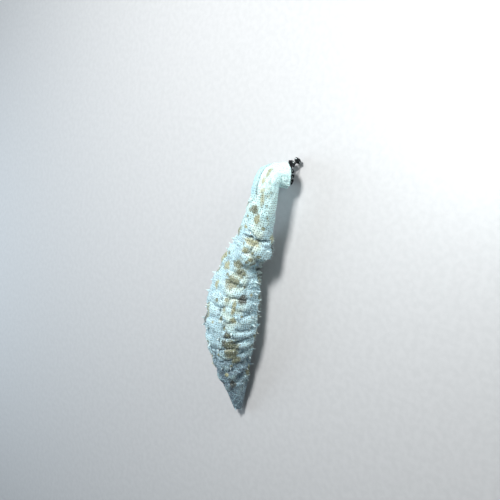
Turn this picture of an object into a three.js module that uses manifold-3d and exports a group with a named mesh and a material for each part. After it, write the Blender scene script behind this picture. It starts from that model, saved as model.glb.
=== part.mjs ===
// A sea cucumber at life size, in millimetres, with +Z up and its head towards -Y.
// It lies on the flat ends of its tube feet at z = 0, with its front third lifted in an arch
// that brings the mouth and its ring of tentacles down to the floor again.
import * as THREE from "three";
import { mergeVertices } from "three/addons/utils/BufferGeometryUtils.js";
import Module from "manifold-3d";

const wasm = await Module();
wasm.setup();

// Driving dimensions
const MEETING_GAP = 0.3;
const MERGE_WITHIN = 1e-4;
const WIDE = 1.05;
const TALL = 0.96;
const RINGS_APART = 3.3;
const POINTS_ROUND = 26;
const PATH_STEPS = 40;
const ORIGIN_SHIFT = { x: 11.0, y: 1.0 };

// Distances along the body are counted from a place 4 mm ahead of the vent
const VENT_AT = -4;

// The flattened sole: how far along it reaches, how low it lies in half widths, and its squareness
const SOLE = { from: 4, full: 30, fades: 165, to: 205, drop: 0.86, squareness: 1.3 };

// The mouth's rim is a little square: distances back from the mouth, and the squareness
const RIM = { from: 16, full: 5, squareness: 0.5 };

// The middle line of the body from the vent to the mouth, with half its width at each place
const BODY = [
  { name: "vent", x: -14.6, y: 135.6, z: 6.9, half: 4.9 },
  { name: "tail", x: -11.6, y: 117.2, z: 10.4, half: 10.2 },
  { name: "rump", x: -7.9, y: 97.6, z: 15.6, half: 15.9 },
  { name: "hind", x: -3.7, y: 74.0, z: 20.2, half: 21.0 },
  { name: "middle", x: -2.6, y: 43.4, z: 24.6, half: 26.0 },
  { name: "fore", x: -2.9, y: 6.9, z: 24.6, half: 25.9 },
  { name: "shoulder", x: -7.5, y: -21.8, z: 24.0, half: 20.8 },
  { name: "fold", x: -18.1, y: -42.0, z: 25.5, half: 20.3 },
  { name: "neck_root", x: -24.2, y: -62.6, z: 28.5, half: 16.5 },
  { name: "neck", x: -29.1, y: -83.9, z: 31.5, half: 14.5 },
  { name: "nape", x: -30.2, y: -103.0, z: 32.5, half: 13.7 },
  { name: "crown", x: -31.0, y: -115.6, z: 30.4, half: 13.0 },
  { name: "brow", x: -32.4, y: -120.4, z: 23.9, half: 12.6 },
  { name: "mouth", x: -38.9, y: -121.9, z: 13.8, half: 13.3 },
];

// Lengths that the body is divided into, each from one distance along the body to the next
const LENGTHS = [
  { name: "tail", from: VENT_AT, to: 38, colour: 0x6f8a94 },
  { name: "trunk_rear", from: 38, to: 78, colour: 0x9bbcc4 },
  { name: "trunk_middle", from: 78, to: 118, colour: 0xb4d6d9 },
  { name: "trunk_front", from: 118, to: 158, colour: 0xb9dcdc },
  { name: "neck_lower", from: 158, to: 200, colour: 0xc9e6e2 },
  { name: "neck_upper", from: 200, to: 244, colour: 0xd8f2f0 },
  { name: "head", from: 244, to: 1000, colour: 0xe0faf9 },
];

// Relief of the skin: where it starts and is full, how it fades up the neck and towards the sole
const RELIEF = {
  from: 6, full: 40, neckFrom: 196, neckTo: 226, neckLoss: 0.7, soleEdge: -0.75, backEdge: -0.2,
};
const ROLL = { apart: 15, height: 0.6, slant: 5, twist: 31 };

// Deep folds: distance along, degrees round, reach in degrees, width, depth and slant
const FOLDS = [
  { along: 197.5, round: 42, reach: 62, width: 2.4, depth: 2.6, slant: -1 },
  { along: 175.5, round: 100, reach: 46, width: 2.8, depth: 2.6, slant: -2 },
  { along: 92.5, round: 80, reach: 34, width: 2.4, depth: 1.8, slant: 2 },
  { along: 82, round: 78, reach: 40, width: 2.4, depth: 2.0, slant: 3 },
  { along: 68, round: 95, reach: 36, width: 2.4, depth: 1.6, slant: 4 },
  { along: 54, round: 88, reach: 40, width: 2.4, depth: 1.5, slant: 4 },
];

// Swellings, and hollows of negative height: distance along, degrees round, length, width and height
const BULGES = [
  { along: 226, round: -22, length: 19, width: 17, height: 2.0 },
  { along: 208, round: -34, length: 15, width: 16, height: 2.0 },
  { along: 196, round: -30, length: 11, width: 14, height: 1.6 },
  { along: 160, round: -44, length: 17, width: 22, height: 2.2 },
  { along: 138, round: -46, length: 17, width: 22, height: 1.8 },
  { along: 117, round: -46, length: 18, width: 24, height: 1.8 },
  { along: 93, round: -46, length: 17, width: 24, height: 1.8 },
  { along: 73, round: -46, length: 17, width: 22, height: 1.8 },
  { along: 88, round: 86, length: 9, width: 26, height: 1.6 },
  { along: 77, round: 84, length: 9, width: 24, height: 1.8 },
  { along: 60, round: 86, length: 11, width: 24, height: 1.5 },
  { along: 44, round: 88, length: 11, width: 22, height: 1.4 },
  { along: 29, round: 86, length: 12, width: 18, height: 1.2 },
  { along: 186, round: 66, length: 15, width: 30, height: 1.6 },
  { along: 166, round: 121, length: 23, width: 46, height: -9.6 },
  { along: 140, round: 118, length: 32, width: 36, height: -2.4 },
  { along: 246, round: 30, length: 22, width: 20, height: 0.8 },
];

// Small cones that stand on the back and flanks
const PAPILLA = { height: 3.6, radius: 1.7, sunk: 1.0, sides: 5, clear: 0.6 };
const PAPILLA_SPREAD = { along: 0.7, round: 14, shortest: 0.75, height: 0.5, roundSeed: 9, heightSeed: 31 };
const PAPILLA_ROWS = [
  { round: -78, apart: 7.5, from: 26, to: 176 },
  { round: -58, apart: 9.0, from: 30, to: 196 },
  { round: -25, apart: 17.0, from: 34, to: 168 },
  { round: 12, apart: 19.0, from: 40, to: 172 },
  { round: 48, apart: 17.0, from: 30, to: 180 },
  { round: 92, apart: 9.0, from: 30, to: 196 },
  { round: 112, apart: 7.5, from: 26, to: 186 },
];
const VENT_PAPILLAE = { count: 5, height: 2.4, radius: 1.1, ring: 2.6, sunk: 1.0, lean: 0.35 };

// Tube feet under the body, whose flat ends all stand on the floor
const TUBE_FOOT = { radius: 1.5, sides: 6, sunk: 2.5, clear: 0.5 };
const TUBE_FOOT_ROWS = [
  { side: 0, apart: 8.5, from: 14, to: 170 },
  { side: -0.42, apart: 8.5, from: 20, to: 168 },
  { side: 0.42, apart: 8.5, from: 20, to: 168 },
];

// The mouth's two rings of tentacles, each a short stalk with a wide rounded end
const ORAL_DISC = { radius: 9.6, thickness: 1.6, sides: 20, bevel: 1.0, shoulder: 0.8 };
const OUTER_TENTACLES = {
  count: 12, firstTurn: 0, rootRing: 7.2, ring: 8.5, reach: 2.4, stalk: 1.0, leaf: 1.85,
};
const INNER_TENTACLES = {
  count: 8, firstTurn: 0.2, rootRing: 3.6, ring: 3.9, reach: 2.4, stalk: 0.85, leaf: 1.25,
};

// Outer tentacles that are stretched out to one side, with the middles and sizes of their ends
const REACHING = [
  { index: 0, x: -38.9, y: -134.2, z: 7.6, leaf: 3.8 },
  { index: 11, x: -44.5, y: -137.9, z: 5.8, leaf: 3.4 },
  { index: 1, x: -32.6, y: -131.4, z: 5.0, leaf: 2.3 },
];

// The rounded end of a tentacle, as shares of its radius along the stalk and outward
const LEAF = {
  sides: 8, neck: 0.9, low: 0.6, lowWide: 0.85, high: 0.42, highWide: 0.8, top: 0.7, taper: 0.85,
};

const DEGREE = Math.PI / 180;

// A repeatable number between 0 and 1 from two whole numbers
function scatter(first, second) {
  const wave = Math.sin(first * 12.9898 + second * 78.233 + 4.1) * 43758.5453;
  return wave - Math.floor(wave);
}

function smooth(edgeLow, edgeHigh, value) {
  const t = Math.min(1, Math.max(0, (value - edgeLow) / (edgeHigh - edgeLow)));
  return t * t * (3 - 2 * t);
}

function throughFour(a, b, c, d, t) {
  const slopeStart = (c - a) / 2;
  const slopeEnd = (d - b) / 2;
  const square = t * t;
  const cube = square * t;
  return (2 * cube - 3 * square + 1) * b + (cube - 2 * square + t) * slopeStart
    + (3 * square - 2 * cube) * c + (cube - square) * slopeEnd;
}

// Points along the body's middle line, with half its width and the distance from the vent
function walkBody() {
  const samples = [];
  let distance = VENT_AT;
  for (let piece = 0; piece < BODY.length - 1; piece += 1) {
    const b = BODY[piece];
    const c = BODY[piece + 1];
    const a = BODY[Math.max(0, piece - 1)];
    const d = BODY[Math.min(BODY.length - 1, piece + 2)];
    const steps = piece === BODY.length - 2 ? PATH_STEPS + 1 : PATH_STEPS;
    for (let step = 0; step < steps; step += 1) {
      const t = step / PATH_STEPS;
      const at = new THREE.Vector3(
        throughFour(a.x, b.x, c.x, d.x, t) + ORIGIN_SHIFT.x,
        throughFour(a.y, b.y, c.y, d.y, t) + ORIGIN_SHIFT.y,
        throughFour(a.z, b.z, c.z, d.z, t),
      );
      const half = throughFour(a.half, b.half, c.half, d.half, t);
      if (samples.length > 0) distance += at.distanceTo(samples[samples.length - 1].at);
      samples.push({ at, half, distance });
    }
  }
  return samples;
}

// Gives every sample its forward, upward and right-hand directions, turned as little as can be
function addDirections(samples) {
  let up = new THREE.Vector3(0, 0, 1);
  samples.forEach((sample, index) => {
    const before = samples[Math.max(0, index - 1)].at;
    const after = samples[Math.min(samples.length - 1, index + 1)].at;
    sample.forward = after.clone().sub(before).normalize();
    up = up.clone().addScaledVector(sample.forward, -up.dot(sample.forward)).normalize();
    sample.up = up;
    sample.right = sample.forward.clone().cross(up);
  });
  return samples;
}

const WALK = addDirections(walkBody());
const BODY_LENGTH = WALK[WALK.length - 1].distance;

// The place, size and directions of the body at a distance from the vent
function bodyAt(distance) {
  const wanted = Math.min(BODY_LENGTH, Math.max(VENT_AT, distance));
  let index = WALK.findIndex((sample) => sample.distance >= wanted);
  index = Math.max(1, index);
  const low = WALK[index - 1];
  const high = WALK[index];
  const t = (wanted - low.distance) / (high.distance - low.distance);
  return {
    at: low.at.clone().lerp(high.at, t),
    half: low.half + (high.half - low.half) * t,
    forward: low.forward.clone().lerp(high.forward, t).normalize(),
    up: low.up.clone().lerp(high.up, t).normalize(),
    right: low.right.clone().lerp(high.right, t).normalize(),
  };
}

// How far the underside is flattened into a sole: fully on the trunk, not at all on the neck
function soleAt(distance) {
  return smooth(SOLE.from, SOLE.full, distance) * (1 - smooth(SOLE.fades, SOLE.to, distance));
}

// How square the section is made near the mouth
function rimAt(distance) {
  return smooth(BODY_LENGTH - RIM.from, BODY_LENGTH - RIM.full, distance);
}

// The distance from the middle line to the smooth skin, in half widths
function sectionAt(distance, angle) {
  const sole = soleAt(distance);
  const side = Math.abs(Math.sin(angle)) / WIDE;
  const upward = Math.cos(angle);
  const below = upward < 0;
  const tall = below ? TALL * (1 - (1 - SOLE.drop) * sole) : TALL;
  const power = 2 + (below ? SOLE.squareness * sole : 0) + RIM.squareness * rimAt(distance);
  const sum = (Math.abs(upward) / tall) ** power + side ** power;
  return sum ** (-1 / power);
}

// Degrees between two directions round the body, from -180 to 180
function turnBetween(angle, round) {
  return ((angle / DEGREE - round + 540) % 360) - 180;
}

// The height of all swellings at a place
function bulgeAt(distance, angle) {
  const { half } = bodyAt(distance);
  let height = 0;
  for (const bulge of BULGES) {
    const sideways = turnBetween(angle, bulge.round) * DEGREE * half;
    const ahead = (distance - bulge.along) / (bulge.length / 2);
    const aside = sideways / (bulge.width / 2);
    height += bulge.height * Math.exp(-((ahead ** 2 + aside ** 2) ** 1.5));
  }
  return height;
}

// The depth of all folds at a place
function foldAt(distance, angle) {
  let depth = 0;
  for (const fold of FOLDS) {
    const turn = turnBetween(angle, fold.round);
    const middle = fold.along + (fold.slant * turn) / fold.reach;
    const across = (distance - middle) / fold.width;
    const within = 1 - smooth(0.6, 1, Math.abs(turn) / fold.reach);
    depth += fold.depth * within * Math.exp(-across * across);
  }
  return depth;
}

// Rolls, swellings and folds, in millimetres outward, fading on the sole and at both ends
function reliefAt(distance, angle) {
  const start = smooth(RELIEF.from, RELIEF.full, distance);
  const neck = 1 - RELIEF.neckLoss * smooth(RELIEF.neckFrom, RELIEF.neckTo, distance);
  const back = smooth(RELIEF.soleEdge, RELIEF.backEdge, Math.cos(angle));
  const wobble = ROLL.slant * Math.sin(2 * angle + distance / ROLL.twist);
  const roll = ROLL.height * Math.cos((2 * Math.PI * (distance + wobble)) / ROLL.apart);
  return start * (roll * neck * back + bulgeAt(distance, angle) - foldAt(distance, angle));
}

function skinPoint(distance, angle, lift = 0) {
  const body = bodyAt(distance);
  const radius = body.half * sectionAt(distance, angle) + reliefAt(distance, angle) + lift;
  return body.at
    .addScaledVector(body.up, radius * Math.cos(angle))
    .addScaledVector(body.right, radius * Math.sin(angle));
}

function geometryFrom(points, faces) {
  const geometry = new THREE.BufferGeometry();
  const numbers = points.flatMap((point) => [point.x, point.y, point.z]);
  geometry.setAttribute("position", new THREE.Float32BufferAttribute(numbers, 3));
  geometry.setIndex(faces.flat());
  return geometry;
}

// Turns a shape that stands along +Y to stand along another direction
function standAlong(shape, direction) {
  const turn = new THREE.Quaternion().setFromUnitVectors(new THREE.Vector3(0, 1, 0), direction);
  shape.applyQuaternion(turn);
}

function toManifold(geometry) {
  const bare = geometry.clone();
  bare.deleteAttribute("normal");
  bare.deleteAttribute("uv");
  const merged = mergeVertices(bare, MERGE_WITHIN);
  return new wasm.Manifold(new wasm.Mesh({
    numProp: 3,
    vertProperties: new Float32Array(merged.attributes.position.array),
    triVerts: new Uint32Array(merged.index.array),
  }));
}

function fromManifold(solid) {
  const mesh = solid.getMesh();
  const geometry = new THREE.BufferGeometry();
  const places = new THREE.BufferAttribute(new Float32Array(mesh.vertProperties), 3);
  geometry.setAttribute("position", places);
  geometry.setIndex(new THREE.BufferAttribute(new Uint32Array(mesh.triVerts), 1));
  geometry.computeVertexNormals();
  return geometry;
}

// One closed length of the body: rings of skin points with a flat fan at each end
function bodyLength(from, to) {
  const ringCount = Math.max(2, Math.round((to - from) / RINGS_APART)) + 1;
  const points = [];
  const faces = [];
  for (let ring = 0; ring < ringCount; ring += 1) {
    const distance = from + ((to - from) * ring) / (ringCount - 1);
    for (let step = 0; step < POINTS_ROUND; step += 1) {
      points.push(skinPoint(distance, (step / POINTS_ROUND) * 2 * Math.PI));
    }
  }
  const rearMiddle = points.push(bodyAt(from).at) - 1;
  const frontMiddle = points.push(bodyAt(to).at) - 1;
  const lastRing = (ringCount - 1) * POINTS_ROUND;
  for (let step = 0; step < POINTS_ROUND; step += 1) {
    const next = (step + 1) % POINTS_ROUND;
    for (let ring = 0; ring < ringCount - 1; ring += 1) {
      const here = ring * POINTS_ROUND;
      const ahead = here + POINTS_ROUND;
      faces.push([here + step, here + next, ahead + next], [here + step, ahead + next, ahead + step]);
    }
    faces.push([rearMiddle, next, step]);
    faces.push([frontMiddle, lastRing + step, lastRing + next]);
  }
  return toManifold(geometryFrom(points, faces));
}

// A cone that stands on the skin, with its foot sunk a little way in
function papilla(distance, round, height, radius) {
  const angle = round * DEGREE;
  const foot = skinPoint(distance, angle, -PAPILLA.sunk);
  const tip = skinPoint(distance, angle, height);
  const cone = new THREE.ConeGeometry(radius, foot.distanceTo(tip), PAPILLA.sides);
  const outward = tip.clone().sub(foot).normalize();
  standAlong(cone, outward);
  const middle = foot.add(tip).multiplyScalar(0.5);
  cone.translate(middle.x, middle.y, middle.z);
  return toManifold(cone);
}

// Where a tube foot leaves the sole
function tubeFootTop(distance, side) {
  return skinPoint(distance, Math.PI - side, -TUBE_FOOT.sunk);
}

// A short prism that stands on the floor and ends inside the sole
function tubeFoot(top) {
  const foot = new THREE.CylinderGeometry(TUBE_FOOT.radius, TUBE_FOOT.radius, top.z, TUBE_FOOT.sides);
  foot.rotateX(Math.PI / 2);
  foot.translate(top.x, top.y, top.z / 2);
  return toManifold(foot);
}

// Whether a point is a margin away from both flat ends of a length
function betweenEnds(point, from, to, margin) {
  const rear = bodyAt(from);
  const front = bodyAt(to);
  const pastRear = point.clone().sub(rear.at).dot(rear.forward);
  const beforeFront = front.at.clone().sub(point).dot(front.forward);
  return pastRear > margin && beforeFront > margin;
}

function inside(distance, from, to, margin) {
  return distance > from + margin && distance < to - margin;
}

function addPapillae(solid, from, to) {
  const spread = PAPILLA_SPREAD;
  let grown = solid;
  PAPILLA_ROWS.forEach((row, rowIndex) => {
    const count = Math.floor((row.to - row.from) / row.apart);
    for (let index = 0; index < count; index += 1) {
      const distance = row.from + (index + spread.along * scatter(index, rowIndex)) * row.apart;
      const round = row.round + spread.round * (scatter(rowIndex + spread.roundSeed, index) - 0.5);
      const share = spread.shortest + spread.height * scatter(index + spread.heightSeed, rowIndex);
      const height = PAPILLA.height * share;
      const tip = skinPoint(distance, round * DEGREE, height);
      const clear = inside(distance, from, to, PAPILLA.radius + PAPILLA.clear);
      if (clear && betweenEnds(tip, from, to, PAPILLA.radius)) {
        grown = grown.add(papilla(distance, round, height, PAPILLA.radius));
      }
    }
  });
  return grown;
}

function addTubeFeet(solid, from, to) {
  let grown = solid;
  for (const row of TUBE_FOOT_ROWS) {
    const count = Math.floor((row.to - row.from) / row.apart);
    for (let index = 0; index < count; index += 1) {
      const distance = row.from + (index + 0.5) * row.apart;
      const top = tubeFootTop(distance, row.side);
      const bottom = new THREE.Vector3(top.x, top.y, 0);
      const margin = TUBE_FOOT.radius + TUBE_FOOT.clear;
      if (betweenEnds(top, from, to, margin) && betweenEnds(bottom, from, to, margin)) {
        grown = grown.add(tubeFoot(top));
      }
    }
  }
  return grown;
}

// Small points round the vent, that lean back past the end of the tail
function addVentPapillae(solid) {
  let grown = solid;
  const body = bodyAt(VENT_AT);
  for (let index = 0; index < VENT_PAPILLAE.count; index += 1) {
    const angle = ((index + 0.5) / VENT_PAPILLAE.count) * 2 * Math.PI;
    const outward = body.up.clone().multiplyScalar(Math.cos(angle))
      .addScaledVector(body.right, Math.sin(angle));
    const long = VENT_PAPILLAE.height + VENT_PAPILLAE.sunk;
    const cone = new THREE.ConeGeometry(VENT_PAPILLAE.radius, long, PAPILLA.sides);
    const lean = body.forward.clone().negate().addScaledVector(outward, VENT_PAPILLAE.lean).normalize();
    standAlong(cone, lean);
    const middle = body.at.clone().addScaledVector(outward, VENT_PAPILLAE.ring)
      .addScaledVector(lean, VENT_PAPILLAE.height - long / 2);
    cone.translate(middle.x, middle.y, middle.z);
    grown = grown.add(toManifold(cone));
  }
  return grown;
}

function skinMaterial(colour) {
  return new THREE.MeshStandardMaterial({ color: colour, roughness: 0.55, metalness: 0 });
}

function named(name, geometry, material) {
  const mesh = new THREE.Mesh(geometry, material);
  mesh.name = name;
  return mesh;
}

function makeLength({ name, from, to, colour }) {
  const start = from === VENT_AT ? VENT_AT : from + MEETING_GAP / 2;
  const end = to > BODY_LENGTH ? BODY_LENGTH : to - MEETING_GAP / 2;
  let solid = bodyLength(start, end);
  solid = addPapillae(solid, start, end);
  solid = addTubeFeet(solid, start, end);
  if (from === VENT_AT) solid = addVentPapillae(solid);
  return named(name, fromManifold(solid), skinMaterial(colour));
}

const tentacleMaterial = new THREE.MeshStandardMaterial({ color: 0x16211f, roughness: 0.5, metalness: 0 });

function mouthFrame() {
  const body = bodyAt(BODY_LENGTH);
  return { at: body.at, down: body.forward, up: body.up, right: body.right };
}

// The round skin between the collar and the tentacles, just clear of the head's end
function makeOralDisc(mouth) {
  const top = ORAL_DISC.thickness;
  const profile = [
    new THREE.Vector2(0, 0),
    new THREE.Vector2(ORAL_DISC.radius, 0),
    new THREE.Vector2(ORAL_DISC.radius - ORAL_DISC.bevel, top * ORAL_DISC.shoulder),
    new THREE.Vector2(0, top),
  ];
  const disc = new THREE.LatheGeometry(profile, ORAL_DISC.sides);
  standAlong(disc, mouth.down);
  const at = mouth.at.clone().addScaledVector(mouth.down, MEETING_GAP);
  disc.translate(at.x, at.y, at.z);
  return named("oral_disc", fromManifold(toManifold(disc)), tentacleMaterial);
}

// A stalk from the oral disc that widens into a rounded end, turned about its own line.
// A leaning stalk starts a little lower, so that the edge of its flat root clears the disc.
function makeTentacle(name, socket, leafMiddle, down, stalk, leaf) {
  const lean = leafMiddle.clone().sub(socket).normalize().cross(down).length();
  const root = socket.clone().addScaledVector(down, stalk * lean);
  const line = leafMiddle.clone().sub(root);
  const length = line.length();
  const profile = [
    new THREE.Vector2(0, 0),
    new THREE.Vector2(stalk, 0),
    new THREE.Vector2(stalk * LEAF.taper, length - leaf * LEAF.neck),
    new THREE.Vector2(leaf * LEAF.lowWide, length - leaf * LEAF.low),
    new THREE.Vector2(leaf, length),
    new THREE.Vector2(leaf * LEAF.highWide, length + leaf * LEAF.high),
    new THREE.Vector2(0, length + leaf * LEAF.top),
  ];
  const shape = new THREE.LatheGeometry(profile, LEAF.sides);
  standAlong(shape, line.normalize());
  shape.translate(root.x, root.y, root.z);
  return named(name, fromManifold(toManifold(shape)), tentacleMaterial);
}

function tentacleRing(mouth, ring, firstNumber, reaching) {
  const meshes = [];
  const depth = MEETING_GAP * 2 + ORAL_DISC.thickness;
  for (let index = 0; index < ring.count; index += 1) {
    const turn = ring.firstTurn + (index / ring.count) * 2 * Math.PI;
    const sideways = new THREE.Vector3(Math.sin(turn), -Math.cos(turn), 0);
    const flat = sideways.clone().addScaledVector(mouth.down, -sideways.dot(mouth.down)).normalize();
    const socket = mouth.at.clone().addScaledVector(mouth.down, depth).addScaledVector(flat, ring.rootRing);
    const held = reaching.find((tentacle) => tentacle.index === index);
    const leafMiddle = held
      ? new THREE.Vector3(held.x + ORIGIN_SHIFT.x, held.y + ORIGIN_SHIFT.y, held.z)
      : mouth.at.clone().addScaledVector(mouth.down, depth + ring.reach).addScaledVector(flat, ring.ring);
    const name = `tentacle_${String(firstNumber + index).padStart(2, "0")}`;
    const leaf = held ? held.leaf : ring.leaf;
    meshes.push(makeTentacle(name, socket, leafMiddle, mouth.down, ring.stalk, leaf));
  }
  return meshes;
}

const seaCucumber = new THREE.Group();
LENGTHS.forEach((length) => seaCucumber.add(makeLength(length)));
const mouth = mouthFrame();
seaCucumber.add(makeOralDisc(mouth));
tentacleRing(mouth, OUTER_TENTACLES, 1, REACHING).forEach((mesh) => seaCucumber.add(mesh));
const firstInner = OUTER_TENTACLES.count + 1;
tentacleRing(mouth, INNER_TENTACLES, firstInner, []).forEach((mesh) => seaCucumber.add(mesh));

export default seaCucumber;
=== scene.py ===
# A sea cucumber at life size: looks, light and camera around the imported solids, in metres.
# Lengths named *_MM are millimetres, as on the solids, and are turned into metres at the end.
import math

import bpy
import numpy as np
from mathutils import Matrix, Vector


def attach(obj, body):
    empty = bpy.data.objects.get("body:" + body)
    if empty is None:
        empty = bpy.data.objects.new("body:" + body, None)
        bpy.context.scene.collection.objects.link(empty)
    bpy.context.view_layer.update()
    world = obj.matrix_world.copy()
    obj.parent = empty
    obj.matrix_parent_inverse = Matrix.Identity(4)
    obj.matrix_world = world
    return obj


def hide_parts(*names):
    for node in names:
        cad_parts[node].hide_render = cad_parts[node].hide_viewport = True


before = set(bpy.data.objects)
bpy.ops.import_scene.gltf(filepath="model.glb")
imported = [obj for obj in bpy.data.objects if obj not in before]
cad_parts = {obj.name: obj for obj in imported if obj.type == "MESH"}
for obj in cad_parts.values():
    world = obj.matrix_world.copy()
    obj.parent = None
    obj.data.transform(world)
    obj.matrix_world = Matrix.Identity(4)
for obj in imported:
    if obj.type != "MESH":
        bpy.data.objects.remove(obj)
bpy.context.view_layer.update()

MM = 0.001
BODY_NAME = "root"
FLESH_NODES = ("tail", "trunk_rear", "trunk_middle", "trunk_front", "neck_lower", "neck_upper", "head")

# The middle line of the body from the vent to the mouth: x, y, z and half the width, in millimetres
BODY_MM = np.array([
    (-14.6, 135.6, 6.9, 4.9),
    (-11.6, 117.2, 10.4, 10.2),
    (-7.9, 97.6, 15.6, 15.9),
    (-3.7, 74.0, 20.2, 21.0),
    (-2.6, 43.4, 24.6, 26.0),
    (-2.9, 6.9, 24.6, 25.9),
    (-7.5, -21.8, 24.0, 20.8),
    (-18.1, -42.0, 25.5, 20.3),
    (-24.2, -62.6, 28.5, 16.5),
    (-29.1, -83.9, 31.5, 14.5),
    (-30.2, -103.0, 32.5, 13.7),
    (-31.0, -115.6, 30.4, 13.0),
    (-32.4, -120.4, 23.9, 12.6),
    (-38.9, -121.9, 13.8, 13.3),
])
ORIGIN_SHIFT_MM = np.array((11.0, 1.0, 0.0))

# Distances along the body are counted from a place 4 mm ahead of the vent
VENT_AT_MM = -4.0
PATH_STEPS = 40
WIDE = 1.05
TALL = 0.96
COAT_DEPTH_MM = 0.35

# Pairs with BEGINS or ENDS are the distances over which something comes in or goes out
SOLE_BEGINS_MM = (4, 30)
SOLE_ENDS_MM = (165, 205)
SOLE_DROP = 0.86
SOLE_SQUARENESS = 1.3
RIM_FROM_MM = 16
RIM_FULL_MM = 5
HEAD_SQUARENESS = 0.5

# Repeatable chance and noise
SCATTER_WEIGHTS = (12.9898, 78.233, 4.1, 43758.5453)
RIPPLE_WAVES = 5
RIPPLE_TURN = 2.4
RIPPLE_SHIFT = 7.1
RIPPLE_SEED_SHIFT = 3.3
RIPPLE_SIZE = 0.7
RIPPLE_SIZE_STEP = 0.22
RIPPLE_PEAK = 3.2

# The grid of the skin and its unwrap
RINGS = 390
POINTS_ROUND = 240
UV_EDGE = 0.01
UV_SPAN = 1 - 2 * UV_EDGE
ROOT_PATCH_UV = 0.0015
SCALLOPS = 13
SCALLOP_DEPTH = 0.035
THROAT_SCALE = 0.8

# Rolls across the trunk
ROLL_APART_MM = 15.0
ROLL_HEIGHT_MM = 0.5
ROLL_TWIST_MM = 5

# How a fold's line wavers, as size, degrees and a multiple of its place, how it is shaped, and how its line
# of painted shade is drawn
FOLD_WAVERS = ((0.8, 9.0, 1), (0.4, 3.7, 2))
FOLD_FADES_FROM = 0.55
FOLD_LIP_SHARE = 0.7
FOLD_TROUGH_SHARE = 0.75
FOLD_LIP_REACH_MM = 7
FOLD_SHADE_WIDTH = 0.55
FOLD_SHADE_DEPTH_MM = 2.4

# Deep folds: distance along, degrees round, reach in degrees, width, depth and slant
FOLDS = (
    (197.5, 42, 62, 1.5, 3.6, -1.0),
    (202.5, 26, 24, 1.1, 1.8, -3.0),
    (175.5, 100, 46, 2.4, 3.2, -2.0),
    (92.5, 80, 34, 1.9, 2.2, 2.0),
    (82.0, 78, 40, 1.9, 2.6, 3.0),
    (62.0, 0, 34, 1.8, 1.8, -6.0),
    (68.0, 95, 36, 1.7, 1.8, 4.0),
    (54.0, 88, 40, 1.7, 1.7, 4.0),
    (40.0, 92, 42, 1.6, 1.4, 4.0),
    (214.0, -25, 26, 1.6, 1.6, -3.0),
    (231.0, -20, 26, 1.4, 1.2, 3.0),
    (186.0, -30, 34, 1.8, 1.8, -4.0),
)

# Puffy cells between the folds
CELL_APART_MM = 13.5
CELL_ROUND_MM = 27.0
CELL_DRIFT_MM = 6.0
CELL_HEIGHT_MM = 2.7
CELL_MEAN = 0.55
CELL_EDGE_MM = 4.6
CELL_STRETCH_ALONG = 1.25
CELL_STRETCH_ROUND = 0.62
CELL_WANDER_MM = 1.5
CELL_FINE_WANDER_MM = 0.5
CELLS_FROM_MM = 10.0
CELLS_TO_MM = 212.0
# How far from a cell's edge the painted shade in its crease reaches
CREASE_SHADE_MM = (0.1, 1.7)

# Where the relief comes in and goes out, and its lumps as height, size and seed
RELIEF_BEGINS_MM = (5, 30)
TRUNK_ENDS_MM = (190, 222)
BACK_COSINES = (-0.8, -0.35)
LUMPS = ((0.35, 7, 5.0), (0.14, 2.6, 6.0))
NECK_BEGINS_MM = (196, 226)
NECK_ENDS_MM = (262, 275)
NECK_HEIGHT_MM = 0.5
# Where the painted highlight on the cells' tops fades out towards the head
CELL_HIGHLIGHT_ENDS_MM = (190, 215)

# Swellings, and hollows of negative height: distance along, degrees round, length, width and height
BULGES = (
    (226, -22, 19, 17, 2.0), (208, -34, 15, 16, 2.0), (196, -30, 11, 14, 1.6), (160, -44, 17, 22, 2.2),
    (138, -46, 17, 22, 1.8), (117, -46, 18, 24, 1.8), (93, -46, 17, 24, 1.8), (73, -46, 17, 22, 1.8),
    (88, 86, 9, 26, 1.6), (77, 84, 9, 24, 1.8), (60, 86, 11, 24, 1.5), (44, 88, 11, 22, 1.4),
    (29, 86, 12, 18, 1.2), (186, 66, 15, 30, 1.6), (166, 121, 23, 46, -10.4), (140, 118, 32, 36, -2.4),
    (246, 30, 22, 20, 0.8),
)

# Blotches: distance along, degrees round, length, width, hue from ochre 0 to dark 1, strength
BLOTCHES = (
    (236, 37, 15, 5, 0.05, 0.62), (251, 22, 6, 4, 0.25, 0.72), (256, 28, 7, 4, 0.30, 0.72),
    (246, 52, 5, 4, 0.20, 0.40), (239, 62, 6, 5, 0.10, 0.45), (243, 32, 6, 5, 0.20, 0.62),
    (225, 11, 10, 8, 0.60, 0.85), (217, 30, 9, 6, 0.25, 0.95), (216, 75, 6, 5, 0.30, 0.40),
    (194, 34, 7, 19, 0.10, 0.80), (184, 20, 7, 7, 0.20, 0.90), (178, 49, 4, 4, 0.50, 0.60),
    (166, 20, 10, 11, 0.55, 1.00), (156, -13, 10, 9, 0.20, 0.85), (156, 41, 12, 11, 0.55, 1.00),
    (142, 25, 15, 17, 0.45, 1.00), (174, 61, 5, 7, 0.50, 0.85), (126, 60, 11, 10, 0.85, 1.00),
    (116, 43, 17, 4, 0.25, 0.95), (112, 21, 7, 5, 0.25, 0.60), (102, 46, 7, 6, 0.30, 0.85),
    (122, 24, 6, 5, 0.25, 0.60), (100, 14, 6, 5, 0.30, 0.50), (87, 36, 8, 7, 0.80, 1.00),
    (78, 30, 9, 6, 0.85, 1.00), (71, 47, 24, 15, 0.45, 1.00), (58, 60, 12, 9, 0.60, 0.90),
    (29, 38, 9, 7, 0.85, 0.90), (134, -18, 10, 7, 0.20, 0.80), (105, -30, 13, 7, 0.20, 0.85),
    (74, -44, 10, 7, 0.25, 0.80), (146, -48, 9, 8, 0.35, 0.90), (198, -38, 12, 9, 0.35, 0.90),
    (228, -40, 9, 6, 0.40, 0.80),
)
SPOT_MM = 3.4
SPOT_SHARES = (0.8, 0.5)
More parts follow.
